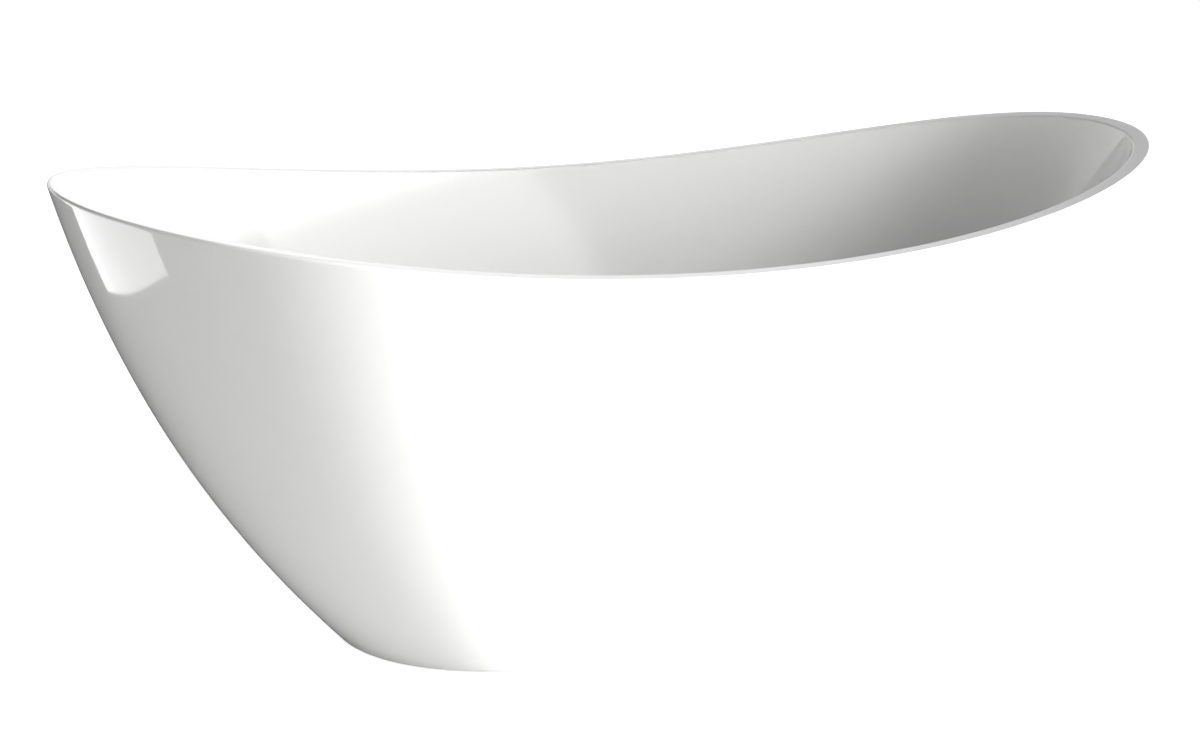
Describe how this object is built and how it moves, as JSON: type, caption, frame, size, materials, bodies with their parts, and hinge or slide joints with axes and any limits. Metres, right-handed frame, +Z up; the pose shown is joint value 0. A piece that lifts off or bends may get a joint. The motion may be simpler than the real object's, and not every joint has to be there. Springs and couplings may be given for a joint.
{
  "type": "freestanding bathtub",
  "caption": "Freestanding double-slipper bath with a smooth tapering skirt, raised ends, levelling feet, click-clack waste and slim overflow.",
  "frame": {"origin": "on the floor under the middle of the bath", "axes": "+X along the length, +Y across towards the back, +Z up; the overflow is in the -Y wall"},
  "size_m": [1.7, 0.845, 0.7079],
  "materials": {
    "acrylic": "high-gloss white sanitary acrylic",
    "bonding_resin": "cured resin, uneven satin",
    "plywood": "sanded birch plywood, raw",
    "frame_steel": "grey powder coat, fine orange peel",
    "zinc_steel": "bright zinc plating",
    "nylon": "moulded black nylon, satin",
    "rubber": "matt black rubber",
    "chrome": "polished chrome plate",
    "waste_plastic": "moulded off-white polypropylene",
    "nut_plastic": "moulded dark grey polypropylene",
    "brass": "turned brass",
    "spring_steel": "stainless spring wire"
  },
  "bodies": {
    "tub": {"back_rail": "frame_steel", "base_board": "plywood", "basin_shell": "acrylic", "cartridge_spring": "spring_steel", "click_cartridge": "brass", "cross_rail_1": "frame_steel", "cross_rail_2": "frame_steel", "cross_rail_3": "frame_steel", "cross_rail_4": "frame_steel", "drain_flange": "chrome", "drain_lower_seal": "rubber", "drain_tee": "waste_plastic", "drain_upper_seal": "rubber", "duct_adapter": "waste_plastic", "foot_lock_nuts": "zinc_steel", "foot_weld_nuts": "zinc_steel", "frame_screws": "zinc_steel", "front_rail": "frame_steel", "outer_shell": "acrylic", "overflow_cover": "chrome", "overflow_duct": "waste_plastic", "overflow_housing": "waste_plastic", "overflow_pipe": "waste_plastic", "overflow_pipe_nuts": "nut_plastic", "overflow_pipe_washers": "rubber", "overflow_screw": "chrome", "overflow_seal": "rubber", "rim_bond": "bonding_resin", "skirt_brackets": "zinc_steel", "skirt_ring": "plywood", "skirt_ring_screws": "zinc_steel", "tail_pipe": "waste_plastic", "tail_pipe_nut": "nut_plastic", "tail_pipe_washer": "rubber"},
    "foot_1": {"foot_pad_1": "nylon", "foot_sole_1": "rubber"},
    "stud_1": {"foot_stud_1": "zinc_steel"},
    "foot_2": {"foot_pad_2": "nylon", "foot_sole_2": "rubber"},
    "stud_2": {"foot_stud_2": "zinc_steel"},
    "foot_3": {"foot_pad_3": "nylon", "foot_sole_3": "rubber"},
    "stud_3": {"foot_stud_3": "zinc_steel"},
    "foot_4": {"foot_pad_4": "nylon", "foot_sole_4": "rubber"},
    "stud_4": {"foot_stud_4": "zinc_steel"},
    "plug": {"drain_plug": "chrome", "plug_seal": "rubber", "plug_pin": "brass"}
  },
  "joints": [
    {"name": "foot_1_height", "type": "slide", "parent": "tub", "child": "foot_1", "axis": [0, 0, -1], "range_m": [0, 0.02]},
    {"name": "foot_1_screw", "type": "hinge", "parent": "foot_1", "child": "stud_1", "pos_m": [-0.38, -0.12, 0.05], "axis": [0, 0, -1], "range_deg": [0, 4114.5]},
    {"name": "foot_2_height", "type": "slide", "parent": "tub", "child": "foot_2", "axis": [0, 0, -1], "range_m": [0, 0.02]},
    {"name": "foot_2_screw", "type": "hinge", "parent": "foot_2", "child": "stud_2", "pos_m": [0.38, -0.12, 0.05], "axis": [0, 0, -1], "range_deg": [0, 4114.5]},
    {"name": "foot_3_height", "type": "slide", "parent": "tub", "child": "foot_3", "axis": [0, 0, -1], "range_m": [0, 0.02]},
    {"name": "foot_3_screw", "type": "hinge", "parent": "foot_3", "child": "stud_3", "pos_m": [0.38, 0.12, 0.05], "axis": [0, 0, -1], "range_deg": [0, 4114.5]},
    {"name": "foot_4_height", "type": "slide", "parent": "tub", "child": "foot_4", "axis": [0, 0, -1], "range_m": [0, 0.02]},
    {"name": "foot_4_screw", "type": "hinge", "parent": "foot_4", "child": "stud_4", "pos_m": [-0.38, 0.12, 0.05], "axis": [0, 0, -1], "range_deg": [0, 4114.5]},
    {"name": "plug_lift", "type": "slide", "parent": "tub", "child": "plug", "axis": [0, 0, 1], "range_m": [0, 0.009], "deforming": ["cartridge_spring"]}
  ],
  "couplings": [
    {"joint": "foot_1_screw", "follows": "foot_1_height", "rad_per_m": 3590.4},
    {"joint": "foot_2_screw", "follows": "foot_2_height", "rad_per_m": 3590.4},
    {"joint": "foot_3_screw", "follows": "foot_3_height", "rad_per_m": 3590.4},
    {"joint": "foot_4_screw", "follows": "foot_4_height", "rad_per_m": 3590.4}
  ]
}
